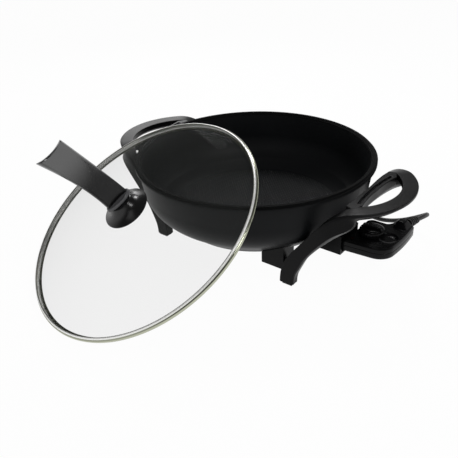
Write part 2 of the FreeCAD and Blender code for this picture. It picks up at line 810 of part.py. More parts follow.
def control_inside():
    """The nose with its contacts, the probe, the thermostat and the pilot lamp."""
    nose = box((127, S.control_back - 0.05), (-18.8, 18.8), (33.5, 47))
    bores = [rod(3.35, 30, (126, S.pin_spacing * side, S.socket_height), "X") for side in (-1, 1)]
    probe_bore = rod(2.6, 30, (126, 0, S.socket_height), "X")
    on_pan(cut(nose, probe_bore, *bores), "contact_block")
    sleeves = []
    for side in (-1, 1):
        y = S.pin_spacing * side
        sleeve = cut(rod(3.3, 26, (128, y, S.socket_height), "X"), rod(S.pin_radius + 0.05, 12, (127, y, S.socket_height), "X"))
        sleeves.append(fuse(sleeve, rod(1.5, 5, (152, y, S.socket_height), "X")))
    on_pan(group(*sleeves), "contact_sleeves")
    tip = taper(1.0, 2.5, 3, (70, 0, S.socket_height), "X")
    probe = fuse(tip, rod(2.5, S.control_back - 66, (73, 0, S.socket_height), "X"))
    on_pan(probe, "temperature_probe")
    switch_x = (S.control_back + 8.2, S.control_back + 34)
    base = box(switch_x, (-6, 24), (S.control_low + S.shell, S.control_low + 6.8))
    on_pan(base, "thermostat_base")
    blade = box((S.control_back + 10, S.control_back + 32), (9, 15), (S.control_low + 8.5, S.control_low + 9.2))
    post = box((S.control_back + 10, S.control_back + 14), (9, 15), (S.control_low + 6.8, S.control_low + 8.5))
    on_pan(fuse(blade, post), "bimetal_blade")
    arm = box((S.control_back + 10, S.control_back + 30), (-3, 2), (S.control_low + 8.5, S.control_low + 9.0))
    stud = box((S.control_back + 10, S.control_back + 13), (-3, 2), (S.control_low + 6.8, S.control_low + 8.5))
    on_pan(fuse(arm, stud), "contact_arm")
    lens = fuse(
        rod(2.5, 3, (S.control_back + 6, -13, S.control_high - 2.4)),
        rod(3.2, 0.8, (S.control_back + 6, -13, S.control_high - 3.1)),
    )
    on_pan(lens, "pilot_lens")
    lamp_low = S.control_low + S.shell
    lamp = rod(1.8, S.control_high - 3.1 - lamp_low, (S.control_back + 6, -13, lamp_low))
    on_pan(lamp, "pilot_lamp")


def dial():
    """The temperature dial with its grip bar and fluted rim, and the spindle it turns."""
    high = S.control_high + 0.4
    top = S.control_high + S.dial_height
    at = (S.dial_x, S.dial_y)
    disc = rod(S.dial_radius, S.dial_height - 3.4, (*at, high))
    disc = rounded(disc, 1.2, lambda e: e.BoundBox.ZLength < 0.01 and e.BoundBox.ZMax > 58)
    bar = box((S.dial_x - 13, S.dial_x + 13), (S.dial_y - 3.2, S.dial_y + 3.2), (high + 5, top))
    bore = rod(3.0, 6, (*at, high - 1))
    on_pan(cut(fuse(disc, bar), bore), "temperature_dial")
    shaft = rod(2.95, 12.3, (*at, S.control_high - 7.4))
    collar = rod(5.5, 1.6, (*at, S.control_high - 5.2))
    on_pan(fuse(shaft, collar), "dial_spindle")



def rounded_path(points, tight=0.45):
    """Straight runs joined by arcs as large as the runs allow, and their radii."""
    points = [Vector(*p) for p in points]
    edges, radii = [], []
    start = points[0]
    for before, corner, after in zip(points, points[1:], points[2:]):
        towards = (corner - before).normalize()
        away = (after - corner).normalize()
        half = towards.getAngle(away) / 2
        run = min((corner - before).Length, (after - corner).Length)
        reach = tight * run
        radius = reach / math.tan(half)
        first = corner - towards * reach
        last = corner + away * reach
        inward = (away - towards).normalize()
        middle = corner + inward * (radius / math.cos(half) - radius)
        edges.append(Part.LineSegment(start, first).toShape())
        edges.append(Part.Arc(first, middle, last).toShape())
        radii.append(radius)
        start = last
    edges.append(Part.LineSegment(start, points[-1]).toShape())
    return Part.Wire(edges), radii


def tube(path, start, direction, radius, node):
    """A round cord along a path."""
    section = Part.Wire([Part.Circle(Vector(*start), direction, radius).toShape()])
    cord = doc.addObject("Part::Feature", "Cord")
    cord.Shape = path.makePipeShell([section], True, False)
    place(cord, S.pan_x, S.pan_y, 0)
    name_node(cord, node)
    ideal = math.pi * radius**2 * path.Length
    print(f"{node}: length {path.Length:.0f}, volume ratio {cord.Shape.Volume / ideal:.4f}")
    return path.Length


def boot_turn():
    """The turn from +Z to the boot's own axis, which looks from the cord's exit into the case."""
    return Rotation(Vector(0, 0, 1), Vector(*LEAD[0]) - Vector(*LEAD[1]))


def strain_relief():
    """The moulded boot that carries the cord out of the control's far side."""
    exit_point = Vector(*LEAD[0])
    turn = boot_turn()
    wall, length = SIZES["shell"], SIZES["relief_length"]
    neck = rod(4.2, 7.5, (0, 0, length - 0.5))
    flange = rod(5.4, 1.4, (0, 0, length + wall + 3.8))
    boot = taper(S.cord_diameter * 0.5 + 1.2, 7.0, length, (0, 0, 0))
    ribs = [
        cut(
            rod(9, 1.6, (0, 0, 4.0 + 4.4 * index)),
            rod(3.6 + 0.22 * index, 3, (0, 0, 3.0 + 4.4 * index)),
        )
        for index in range(4)
    ]
    whole = cut(fuse(neck, flange, boot), *ribs)
    doc.recompute()
    pan_place = Vector(SIZES["pan_x"], SIZES["pan_y"], 0)
    whole.Placement = Placement(exit_point + pan_place, turn)
    name_node(whole, "strain_relief")


def cord():
    """The lead from the strain relief to the floor, and the coil of its unseen length."""
    radius = SIZES["cord_diameter"] / 2
    path, radii = rounded_path(LEAD)
    first = Vector(*LEAD[1]) - Vector(*LEAD[0])
    print("cord radii", ", ".join(f"{value:.0f}" for value in radii))
    length = tube(path, LEAD[0], first, radius, "cord_lead")
    length += coil(radius)
    print(f"cord in all: {length:.0f}")


def coil(radius):
    """Two turns inwards on the floor, a half turn up, two turns out on top: all half circles."""
    reach, pitch, layer = (SIZES[k] for k in ("coil_radius", "coil_pitch", "coil_layer"))
    start = Vector(*LEAD[-1])
    centre = start + Vector(-radius * 2, reach, 0)
    inwards = [reach - pitch * step / 2 for step in range(5)]
    radii = inwards + inwards[::-1]
    crossings = []
    for step, distance in enumerate(radii):
        side = -1 if step % 2 == 0 else 1
        height = layer if step > 4 else 0
        crossings.append(centre + Vector(0, side * distance, height))
    edges = [Part.LineSegment(start, crossings[0]).toShape()]
    for step, (first, last) in enumerate(zip(crossings, crossings[1:])):
        half = (last - first).Length / 2
        swing = Vector(-half if step % 2 == 0 else half, 0, 0)
        edges.append(Part.Arc(first, (first + last) * 0.5 + swing, last).toShape())
    end = crossings[-1] + Vector(radius * 2, 0, 0)
    edges.append(Part.LineSegment(crossings[-1], end).toShape())
    path = Part.Wire(edges)
    print(f"coil gap {least_gap(path, radius):.2f}, ends at {end.x:.1f}, {end.y:.1f}, {end.z:.1f}")
    return tube(path, start, Vector(-1, 0, 0), radius, "cord_coil")


def least_gap(path, radius):
    """The least gap of a tube to itself, on points along its path."""
    points = path.discretize(Distance=2.0)
    skip = int(6 * radius / 2.0) + 1
    nearest = min(
        (first - last).Length
        for index, first in enumerate(points)
        for last in points[index + skip:]
    )
    return nearest - 2 * radius


def plug():
    """The two-pin plug at the cord's far end, lying on the floor beside the coil."""
    reach, layer = SIZES["coil_radius"], SIZES["coil_layer"]
    start = Vector(*LEAD[-1])
    x, y, z = start.x, start.y + reach * 2, start.z + layer
    neck = taper(S.cord_diameter * 0.5 + 1.2, 6.6, 12, (x, y, z), "X")
    grip = rod(8.4, 24, (x + 11.5, y, z), "X")
    face = box((x + 34, x + 44), (y - 17, y + 17), (z - 6.8, z + 6.8))
    face = rounded(face, 5.0, lambda e: e.BoundBox.XLength > 5)
    sockets = [rod(2.0, 8, (x + 38, y + 9.5 * side, z), "X") for side in (-1, 1)]
    on_pan(cut(fuse(neck, grip, face), *sockets), "plug_body")
    pins = []
    for side in (-1, 1):
        root = rod(2.0, 6.3, (x + 38, y + 9.5 * side, z), "X")
        pins.append(fuse(root, rod(2.4, 19, (x + 44.2, y + 9.5 * side, z), "X")))
    on_pan(group(*pins), "plug_pins")


def outputs():
    """Check every object, then write each sub-part to its own file."""
    doc.recompute()
    broken = [o.Label for o in doc.Objects if {"Invalid", "Error"} & set(o.State)]
    for node, thing in NODES:
        if thing.Shape.isNull() or not thing.Shape.isValid() or not thing.Shape.Solids:
            broken.append(node)
    if broken:
        raise RuntimeError(f"failed: {broken}")
    os.makedirs("parts", exist_ok=True)
    for node, thing in NODES:
        thing.Shape.exportStep(f"parts/{node}.step")
    print(len(NODES), "nodes")


pan()
heater()
terminals()
socket_shroud()
moulding("right", 0)
moulding("left", 180)
foot_pads_and_screws()
lid()
control_case()
control_inside()
dial()
strain_relief()
cord()
plug()
outputs()
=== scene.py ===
import json
import math

import bmesh
import bpy
from bpy.props import FloatProperty, FloatVectorProperty, IntProperty, PointerProperty
from mathutils import Matrix, Vector


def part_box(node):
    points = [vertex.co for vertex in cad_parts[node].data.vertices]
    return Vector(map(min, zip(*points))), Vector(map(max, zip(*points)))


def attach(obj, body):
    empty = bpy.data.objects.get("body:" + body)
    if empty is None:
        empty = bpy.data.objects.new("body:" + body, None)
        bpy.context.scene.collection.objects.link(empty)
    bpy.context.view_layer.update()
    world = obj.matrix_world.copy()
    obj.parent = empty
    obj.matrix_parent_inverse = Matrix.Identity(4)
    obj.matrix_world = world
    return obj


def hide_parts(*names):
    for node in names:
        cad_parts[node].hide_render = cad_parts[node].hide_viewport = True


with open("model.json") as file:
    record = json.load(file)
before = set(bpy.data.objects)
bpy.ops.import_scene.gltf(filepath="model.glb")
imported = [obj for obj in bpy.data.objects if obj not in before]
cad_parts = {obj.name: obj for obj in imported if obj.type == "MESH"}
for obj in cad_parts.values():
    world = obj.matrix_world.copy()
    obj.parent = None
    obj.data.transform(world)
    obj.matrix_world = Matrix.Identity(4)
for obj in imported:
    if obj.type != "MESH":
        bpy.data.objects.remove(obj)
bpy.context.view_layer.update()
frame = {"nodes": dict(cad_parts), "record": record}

bl_info = {
    "name": "Electric grill pan",
    "version": (1, 0, 0),
    "blender": (4, 5, 0),
    "location": "View3D > Sidebar > Grill Pan",
    "description": "Dresses the grill pan: bowl, mouldings, heat control, cord and glass lid",
    "category": "Object",
}

PAN_LOW, PAN_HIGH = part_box("pan")
PAN_AXIS = Vector(((PAN_LOW.x + PAN_HIGH.x) / 2, (PAN_LOW.y + PAN_HIGH.y) / 2, 0))
MM = 0.001


def at_pan(x, y, z):
    """A point given in millimetres about the pan's axis, as a place in the frame."""
    return PAN_AXIS + Vector((x, y, z)) * MM


class GrillPanSizes(bpy.types.PropertyGroup):
    """The sizes a user would change; the solids of the frame set all others."""

    lens: FloatProperty(
        name="Lens", description="Focal length on a 36 mm sensor", default=47.16, min=10, max=200
    )
    floor_size: FloatProperty(
        name="Floor size", description="Side of the plain floor", default=40.0, unit="LENGTH"
    )
    grid_pitch: FloatProperty(
        name="Grid pitch",
        description="Distance between the raised squares of the cooking surface",
        default=0.0034,
        unit="LENGTH",
    )
    cord_diameter: FloatProperty(
        name="Cord diameter", description="Outside of the flexible cord",
        default=0.0065, unit="LENGTH",
    )
    smoothness: IntProperty(
        name="Smoothness", description="Sides of a large turned piece", default=192, min=32, max=256
    )


class GrillPanColours(bpy.types.PropertyGroup):
    """The colours a user would change."""

    coating: FloatVectorProperty(
        name="Coating", description="Non-stick coating of the pan", subtype="COLOR", size=4,
        default=(0.0066, 0.0072, 0.0080, 1),
    )
    moulding: FloatVectorProperty(
        name="Moulding", description="Black plastic of grips and control", subtype="COLOR", size=4,
        default=(0.0040, 0.0040, 0.0043, 1),
    )
    steel: FloatVectorProperty(
        name="Steel", description="Stainless band of the lid", subtype="COLOR", size=4,
        default=(0.13, 0.134, 0.105, 1),
    )
    glass: FloatVectorProperty(
        name="Glass", description="Tint of the lid's glass", subtype="COLOR", size=4,
        default=(0.10, 0.105, 0.10, 1),
    )
    floor: FloatVectorProperty(
        name="Floor", description="Plain pale floor", subtype="COLOR", size=4,
        default=(0.9, 0.9, 0.9, 1),
    )


def sizes():
    return bpy.context.scene.grill_pan_sizes


def colours():
    return bpy.context.scene.grill_pan_colours


# Places that the finishes share, in millimetres: the raised grid of the cooking surface, the pan's
# lip, and the middle of the lid's handle about the pan's axis
GRID_RADIUS, GRID_LOW, GRID_HIGH = 116.5, 46.8, 49.2
LIP_LOW = 126.2
PADDLE_MIDDLE = (-64.0, -231.0, 150.0)


# Shader maths as expressions


class Term:
    """A value in a material: + - * and ** on terms and numbers add Math nodes."""

    def __init__(self, finish, socket):
        self.finish = finish
        self.socket = socket

    def maths(self, operation, *values):
        return self.finish.node("ShaderNodeMath", {"operation": operation}, *values)

    def __add__(self, other):
        return self.maths("ADD", self, other)

    def __radd__(self, other):
        return self.maths("ADD", other, self)

    def __sub__(self, other):
        return self.maths("SUBTRACT", self, other)

    def __rsub__(self, other):
        return self.maths("SUBTRACT", other, self)

    def __mul__(self, other):
        return self.maths("MULTIPLY", self, other)

    def __rmul__(self, other):
        return self.maths("MULTIPLY", other, self)

    def __pow__(self, other):
        return self.maths("POWER", self, other)

    def sine(self):
        return self.maths("SINE", self)

    def above(self, limit, width):
        """0 below a limit, 1 above it, with a soft step of a width."""
        low, high = limit - width / 2, limit + width / 2
        settings = {"interpolation_type": "SMOOTHSTEP"}
        return self.finish.node("ShaderNodeMapRange", settings, self, low, high, 0.0, 1.0)

    def most(self, other):
        return self.maths("MAXIMUM", self, other)


class Finish:
    """One material, built from named nodes and expressions."""

    def __init__(self, name):
        self.material = bpy.data.materials.new(name)
        self.material.use_nodes = True
        self.tree = self.material.node_tree
        self.tree.nodes.clear()
        self.output = self.tree.nodes.new("ShaderNodeOutputMaterial")

    def link(self, value, socket):
        """Join a term to a socket, or set the socket to a plain value."""
        if isinstance(value, Term):
            self.tree.links.new(value.socket, socket)
        else:
            socket.default_value = value

    def node(self, kind, settings, *values, output=0, **named):
        """Any node: its settings first, then its sockets in order or by name."""
        made = self.tree.nodes.new(kind)
        for setting, value in settings.items():
            setattr(made, setting, value)
        for value, socket in zip(values, made.inputs):
            self.link(value, socket)
        for name, value in named.items():
            self.link(value, made.inputs[name.replace("_", " ")])
        return Term(self, made.outputs[output])

    def place(self):
        """The point on the object, in metres."""
        return self.node("ShaderNodeTexCoord", {}, output="Object")

    def split(self, vector):
        """The three numbers of a vector."""
        parts = self.tree.nodes.new("ShaderNodeSeparateXYZ")
        self.link(vector, parts.inputs[0])
        return [Term(self, socket) for socket in parts.outputs]

    def noise(self, size, detail):
        """Noise whose blobs are about a size across, in metres."""
        return self.node(
            "ShaderNodeTexNoise", {}, Vector=self.place(), Scale=1.0 / size, Detail=detail
        )

    def colour(self, share, first, second):
        """From the first colour to the second by a share."""
        made = self.tree.nodes.new("ShaderNodeMix")
        made.data_type = "RGBA"
        self.link(share, made.inputs[0])
        self.link(first, made.inputs[6])
        self.link(second, made.inputs[7])
        return Term(self, made.outputs[2])

    def bump(self, height, distance):
        """A normal from a height between 0 and 1 and the depth it stands for."""
        return self.node("ShaderNodeBump", {}, Height=height, Distance=distance, Strength=1.0)

    def surface(self, **named):
        """The final shader."""
        shader = self.node("ShaderNodeBsdfPrincipled", {}, **named)
        self.link(shader, self.output.inputs[0])
        return self.material


def shade(colour, factor):
    """A colour made lighter or darker."""
    return tuple(min(1.0, channel * factor) for channel in colour[:3]) + (1.0,)


def coating_material():
    """Satin non-stick coating, with raised squares on the cooking surface and painted shade on the
    lip.
    """
    finish = Finish("coating")
    tint = tuple(colours().coating)
    x, y, z = finish.split(finish.place())
    across = x - PAN_AXIS.x
    along = y - PAN_AXIS.y
    radius = (across * across + along * along) ** 0.5
    low, high = GRID_LOW * MM, GRID_HIGH * MM
    on_floor = (1 - radius.above(GRID_RADIUS * MM, 0.002)) * (1 - z.above(high, 0.0015))
    on_floor = on_floor * z.above(low, 0.001)
    slanted = math.tau / sizes().grid_pitch * 0.7071
    ridges_a = ((across + along) * slanted).sine()
    ridges_b = ((across - along) * slanted).sine()
    squares = (ridges_a * 0.5 + 0.5) * (ridges_b * 0.5 + 0.5)
    grain = finish.noise(0.0012, 2.0)
    cloud = finish.noise(0.06, 2.0)
    height = squares * on_floor + grain * 0.12
    # Painted shade: the lip's colour is darkened to a third and its roughness raised, so the rim
    # shows as a dark line.
    on_lip = z.above(LIP_LOW * MM, 0.003)
    colour = finish.colour(cloud, shade(tint, 0.85), shade(tint, 1.2))
    colour = finish.colour(on_lip, colour, shade(tint, 0.3))
    roughness = 0.36 + cloud * 0.10 + grain * 0.05 + on_lip * 0.4
    relief = finish.bump(height, 0.0009)
    return finish.surface(
        Base_Color=colour, Roughness=roughness, Specular_IOR_Level=0.10,
        Coat_Weight=squares * on_floor, Coat_Roughness=0.25,
        Normal=relief, Coat_Normal=relief,
    )


def moulding_material(name, gloss, level=0.4):
    """Moulded black plastic: a fine spark-eroded grain and a little handling wear."""
    finish = Finish(name)
    tint = tuple(colours().moulding)
    grain = finish.noise(0.0007, 2.0)
    cloud = finish.noise(0.045, 3.0)
    colour = finish.colour(cloud, shade(tint, 0.8), shade(tint, 1.4))
    roughness = gloss + (cloud - 0.5) * 0.12 + grain * 0.04
    return finish.surface(
        Base_Color=colour, Roughness=roughness, Specular_IOR_Level=level,
        Normal=finish.bump(grain, 0.00004),
    )


def handle_material():
    """The lid handle's plastic, with a painted reflection: a clear coat that fades out towards the
    lid lights the far end, so the end by the lid looks shaded.
    """
    finish = Finish("handle")
    tint = tuple(colours().moulding)
    _, y, z = finish.split(finish.place())
    low = at_pan(*PADDLE_MIDDLE)
    reach = (z - low.z) * 0.846 + (low.y - y) * 0.513
    # Painted reflection and shade: more coat away from the lid lights up the handle's far end, and
    # its lack leaves the end by the lid dark.
    painted_reflection_share = reach.above(0.028, 0.05)
    grain = finish.noise(0.0007, 2.0)
    cloud = finish.noise(0.045, 3.0)
    colour = finish.colour(cloud, shade(tint, 0.8), shade(tint, 1.4))
    return finish.surface(
        Base_Color=colour, Roughness=0.22 + (cloud - 0.5) * 0.12 + grain * 0.04,
        Specular_IOR_Level=0.35, Coat_Weight=painted_reflection_share, Coat_Roughness=0.14, Coat_IOR=1.9,
        Normal=finish.bump(grain, 0.00004),
    )


def steel_material(name, tint, gloss):
    """Bright stainless steel with a fine grain."""
    finish = Finish(name)
    grain = finish.noise(0.0009, 3.0)
    cloud = finish.noise(0.03, 2.0)
    colour = finish.colour(cloud, shade(tint, 0.92), shade(tint, 1.05))
    return finish.surface(
        Base_Color=colour, Metallic=1.0, Roughness=gloss + grain * 0.10,
        Normal=finish.bump(grain, 0.00003),
    )


def rim_material():
    """Polished stainless with painted reflections: an olive bead with a painted highlight on its
    crown, and a painted highlight line on the flange inside it.
    """
    finish = Finish("rim_steel")
    tint = tuple(colours().steel)
    middle, axis = at_pan(*LID_MIDDLE), LID_AXIS
    offsets = [part - centre for part, centre in zip(finish.split(finish.place()), middle)]
    height = offsets[0] * axis.x + offsets[1] * axis.y + offsets[2] * axis.z
    squares = offsets[0] * offsets[0] + offsets[1] * offsets[1] + offsets[2] * offsets[2]
    radius = (squares - height * height) ** 0.5
    crown, foot, flange_edge = ((LID_RADIUS - inset) * MM for inset in (0.65, 1.9, 4.0))
    # Painted reflections: the bead, a lighter line on its crown and a near-white line on the flange
    # beside it are colour bands that stand in for stripes the polished steel reflects.
    painted_highlight = (0.95, 0.95, 0.93, 1)
    cloud = finish.noise(0.03, 2.0)
    bead = finish.colour(cloud, shade(tint, 1.9), shade(tint, 2.4))
    bead = finish.colour(radius.above(crown, 0.0006), bead, shade(tint, 3.6))
    flange = finish.colour(radius.above(flange_edge, 0.0005), shade(tint, 0.9), painted_highlight)
    outside = radius.above(foot, 0.0004)
    return finish.surface(
        Base_Color=finish.colour(outside, flange, bead),
        Metallic=1.0, Roughness=outside * -0.32 + 0.48 + cloud * 0.08,
    )


def glass_material():
    """Clear tempered glass: thin and nearly clear face on, denser where it is seen edge on."""
    finish = Finish("glass")
    facing = finish.node("ShaderNodeLayerWeight", {}, 0.5, output=1)
    return finish.surface(
        Base_Color=tuple(colours().glass), Roughness=0.05, Specular_IOR_Level=0.07,
        Alpha=0.06 + facing * facing * facing * 0.2,
    )


def plain_material(name, tint, gloss, metallic=0.0, level=0.5):
    """A small part's finish: its colour, a soft cloud and a fine grain."""
    finish = Finish(name)
    grain = finish.noise(0.0008, 2.0)
    cloud = finish.noise(0.012, 2.0)
    colour = finish.colour(cloud, shade(tint, 0.9), shade(tint, 1.1))
    return finish.surface(
        Base_Color=colour, Metallic=metallic, Roughness=gloss + grain * 0.08,
        Specular_IOR_Level=level, Normal=finish.bump(grain, 0.00003),
    )


def all_materials():
    """The materials by the record's slot."""
    return {
        "nonstick": coating_material(),
        "phenolic": moulding_material("phenolic", 0.30, 0.10),
        "handle": handle_material(),
        "knob": moulding_material("knob", 0.22, 0.42),
        "control_plastic": moulding_material("control_plastic", 0.20, 0.12),
        "steel": steel_material("steel", (0.56, 0.56, 0.57, 1), 0.3),
        "rim_steel": rim_material(),
        "screws": steel_material("screws", (0.62, 0.62, 0.63, 1), 0.28),
        "ceramic": plain_material("ceramic", (0.78, 0.76, 0.70, 1), 0.5),
        "rubber": plain_material("rubber", (0.012, 0.012, 0.012, 1), 0.55),
        "glass": glass_material(),
        "collar_grey": plain_material("collar_grey", (0.10, 0.10, 0.105, 1), 0.2),
        "lens": plain_material("lens", (0.010, 0.0016, 0.0014, 1), 0.12, level=0.1),
        "cord": plain_material("cord", (0.012, 0.012, 0.012, 1), 0.42),
        "brass": plain_material("brass", (0.70, 0.60, 0.38, 1), 0.25, metallic=1.0),
    }


MATERIALS = {}


def material(slot):
    if not MATERIALS:
        MATERIALS.update(all_materials())
    return MATERIALS[slot]


def finish_piece(piece, slot, body, *nodes, look=None):
    """Give a new piece its material, body and the nodes it stands for."""
    piece.data.materials.clear()
    piece.data.materials.append(material(look or slot))
    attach(piece, body)
    if nodes:
        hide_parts(*nodes)
    return piece


# Modelling helpers


def only(piece):
    """Select one object and nothing else."""
    if bpy.context.object and bpy.context.object.mode != "OBJECT":
        bpy.ops.object.mode_set(mode="OBJECT")
    bpy.ops.object.select_all(action="DESELECT")
    piece.select_set(True)
    bpy.context.view_layer.objects.active = piece


def modify(piece, kind, **settings):
    """Add a modifier and apply it."""
    only(piece)
    modifier = piece.modifiers.new(kind.title(), kind)
    for name, value in settings.items():
        setattr(modifier, name, value)
    bpy.ops.object.modifier_apply(modifier=modifier.name)
    return piece


def settle(piece, name, place=None, smooth=35):
    """Name a piece, move its place into its mesh, close its seams and shade it."""
    only(piece)
    piece.name = name
    piece.data.name = name
    if place is not None:
        piece.matrix_world = place @ piece.matrix_world
    bpy.ops.object.transform_apply(location=True, rotation=True, scale=True)
    bpy.ops.object.mode_set(mode="EDIT")
    bpy.ops.mesh.select_all(action="SELECT")
    bpy.ops.mesh.remove_doubles(threshold=0.000005)
    bpy.ops.mesh.normals_make_consistent(inside=False)
    bpy.ops.object.mode_set(mode="OBJECT")
    bpy.ops.object.shade_smooth_by_angle(angle=math.radians(smooth))
    return modify(piece, "WEIGHTED_NORMAL", keep_sharp=True)


def join(first, *others):
    """Make one object of several."""
    only(first)
    for other in others:
        other.select_set(True)
    bpy.ops.object.join()
    return first


def copy_of(piece, name, turn):
    """A copy with its own mesh, turned about the pan's axis."""
    only(piece)
    bpy.ops.object.duplicate(linked=False)
    copy = bpy.context.object
    about = Matrix.Translation(PAN_AXIS) @ Matrix.Rotation(turn, 4, "Z")
    copy.data.transform(about @ Matrix.Translation(-PAN_AXIS))
    copy.name = name
    copy.data.name = name
    return copy


def soften(piece, width, angle=30, segments=3):
    """Round the sharp edges of a piece by a width in millimetres."""
    return modify(
        piece, "BEVEL", width=width * MM, segments=segments, limit_method="ANGLE",
        angle_limit=math.radians(angle), use_clamp_overlap=True,
    )


def turned(profile, sides, rounding=0.0, closed=True, angle=25):
    """A turned shape: a circle extruded and resized from ring to ring of (radius, height)."""
    radius, height = profile[0]
    bpy.ops.object.select_all(action="DESELECT")
    bpy.ops.mesh.primitive_circle_add(
        vertices=sides, radius=radius * MM, fill_type="NGON" if closed else "NOTHING"
    )
    piece = bpy.context.object
    piece.location = (0, 0, height * MM)
    bpy.ops.object.transform_apply(location=True)
    bpy.ops.object.mode_set(mode="EDIT")
    bpy.ops.mesh.select_all(action="SELECT")
    for wide, high in profile[1:]:
        rise = {"value": (0, 0, (high - height) * MM)}
        if closed:
            bpy.ops.mesh.extrude_region_move(TRANSFORM_OT_translate=rise)
        else:
            bpy.ops.mesh.extrude_edges_move(TRANSFORM_OT_translate=rise)
        grow = wide / radius
        bpy.ops.transform.resize(value=(grow, grow, 1), center_override=(0, 0, high * MM))
        radius, height = wide, high
    bpy.ops.mesh.select_all(action="SELECT")
    bpy.ops.mesh.remove_doubles(threshold=0.000005)
    bpy.ops.mesh.normals_make_consistent(inside=False)
    bpy.ops.object.mode_set(mode="OBJECT")
    if rounding:
        soften(piece, rounding, angle)
    return piece


def arc(start, end, bulge, steps=8):
    """The points of an arc after its start; a positive bulge lies left of the chord."""
    first, last = complex(*start), complex(*end)
    chord = last - first
    half = abs(chord) / 2
    radius = (half * half + bulge * bulge) / (2 * abs(bulge))
    left = chord * 1j / abs(chord)
    centre = (first + last) / 2 + left * (bulge - math.copysign(radius, bulge))
    begin = math.atan2((first - centre).imag, (first - centre).real)
    finish = math.atan2((last - centre).imag, (last - centre).real)
    sweep = (finish - begin + math.pi) % (2 * math.pi) - math.pi
    turns = [begin + sweep * step / steps for step in range(1, steps + 1)]
    return [
        (centre.real + radius * math.cos(turn), centre.imag + radius * math.sin(turn))
        for turn in turns
    ]


def outline(start, steps):
    """An outline from corners (x, y) and arcs (x, y, bulge)."""
    points = [start]
    for step in steps:
        points.extend(arc(points[-1], step[:2], step[2]) if len(step) == 3 else [step])
    return points


def plate(points, levels, rounding=0.0, angle=30, centre=(0, 0)):
    """A flat piece: an outline in plan, extruded from level to level of (height, size)."""
    bpy.ops.object.select_all(action="DESELECT")
    bpy.ops.mesh.primitive_circle_add(vertices=len(points), radius=1, fill_type="NGON")
    piece = bpy.context.object
    height, grow = levels[0]
    for vertex, (x, y) in zip(piece.data.vertices, points):
        wide = centre[0] + (x - centre[0]) * grow
        deep = centre[1] + (y - centre[1]) * grow
        vertex.co = Vector((wide, deep, height)) * MM
    bpy.ops.object.mode_set(mode="EDIT")
    bpy.ops.mesh.select_all(action="SELECT")
    middle = Vector((centre[0], centre[1], 0)) * MM
    for high, size in levels[1:]:
        rise = {"value": (0, 0, (high - height) * MM)}
        bpy.ops.mesh.extrude_region_move(TRANSFORM_OT_translate=rise)
        share = size / grow
        bpy.ops.transform.resize(value=(share, share, 1), center_override=middle)
        height, grow = high, size
    bpy.ops.mesh.select_all(action="SELECT")
    bpy.ops.mesh.normals_make_consistent(inside=False)
    bpy.ops.object.mode_set(mode="OBJECT")
    if rounding:
        soften(piece, rounding, angle)
    return piece


def lofted(sections, creases, levels=2):
    """A closed skin through sections of equally many corners, smoothed by subdivision.

    There is a crease for the line that runs through each corner of the sections.
    """
    around, along = len(sections[0]), len(sections)
    bpy.ops.object.select_all(action="DESELECT")
    bpy.ops.mesh.primitive_grid_add(x_subdivisions=around, y_subdivisions=along - 1, size=1)
    piece = bpy.context.object
    bpy.ops.object.mode_set(mode="EDIT")
    mesh = bmesh.from_edit_mesh(piece.data)
    firm = mesh.edges.layers.float.new("crease_edge")
    line = mesh.verts.layers.int.new("line")
    for number, vertex in enumerate(mesh.verts):
        row, column = divmod(number, around + 1)
        vertex[line] = column % around
        vertex.co = Vector(sections[row][column % around]) * MM
    bmesh.ops.remove_doubles(mesh, verts=mesh.verts, dist=0.000005)
    ends = [edge for edge in mesh.edges if edge.is_boundary]
    bmesh.ops.holes_fill(mesh, edges=ends, sides=0)
    for edge in mesh.edges:
        first, last = (vertex[line] for vertex in edge.verts)
        if first == last:
            edge[firm] = creases[first]
        elif edge in ends:
            edge[firm] = 0.9
    bmesh.ops.recalc_face_normals(mesh, faces=mesh.faces)
    bmesh.update_edit_mesh(piece.data)
    bpy.ops.object.mode_set(mode="OBJECT")
    return modify(piece, "SUBSURF", levels=levels, render_levels=levels)


def cut_by(piece, *tools):
    """Take other shapes out of a piece."""
    for tool in tools:
        modify(piece, "BOOLEAN", object=tool, operation="DIFFERENCE", solver="EXACT")
        bpy.data.objects.remove(tool)
    return piece


def moved(piece, x, y, z):
    """Shift a piece by millimetres, into its mesh."""
    only(piece)
    piece.location = Vector((x, y, z)) * MM
    bpy.ops.object.transform_apply(location=True)
    return piece


PAN_PLACE = Matrix.Translation(PAN_AXIS)
# The lid's own frame: the middle of its rim, leaning back on the pan
LID_MIDDLE = (-46.3, -181.7, 88.12)
LID_PLACE = (
    Matrix.Translation(at_pan(*LID_MIDDLE))
    @ Matrix.Rotation(math.radians(-15.9), 4, "Z")
    @ Matrix.Rotation(math.radians(32.1), 4, "X")
)
LID_AXIS = LID_PLACE.to_3x3() @ Vector((0, 0, 1))
LID_RADIUS = 163.0
LID_DOME = 28.7
GLASS = 4.0
HANDLE_FOOT = 45.1
HANDLE_LENGTH = 112.0


def dome_rings(inner, outer, crown, foot, steps):
    """Rings of a shallow dome, from its outer edge to near its middle."""
    rise = crown - foot
    sphere = (outer * outer + rise * rise) / (2 * rise)
    rings = []
    for step in range(steps + 1):
        radius = outer + (inner - outer) * step / steps
        rings.append((radius, crown - sphere + math.sqrt(sphere * sphere - radius * radius)))
    return rings


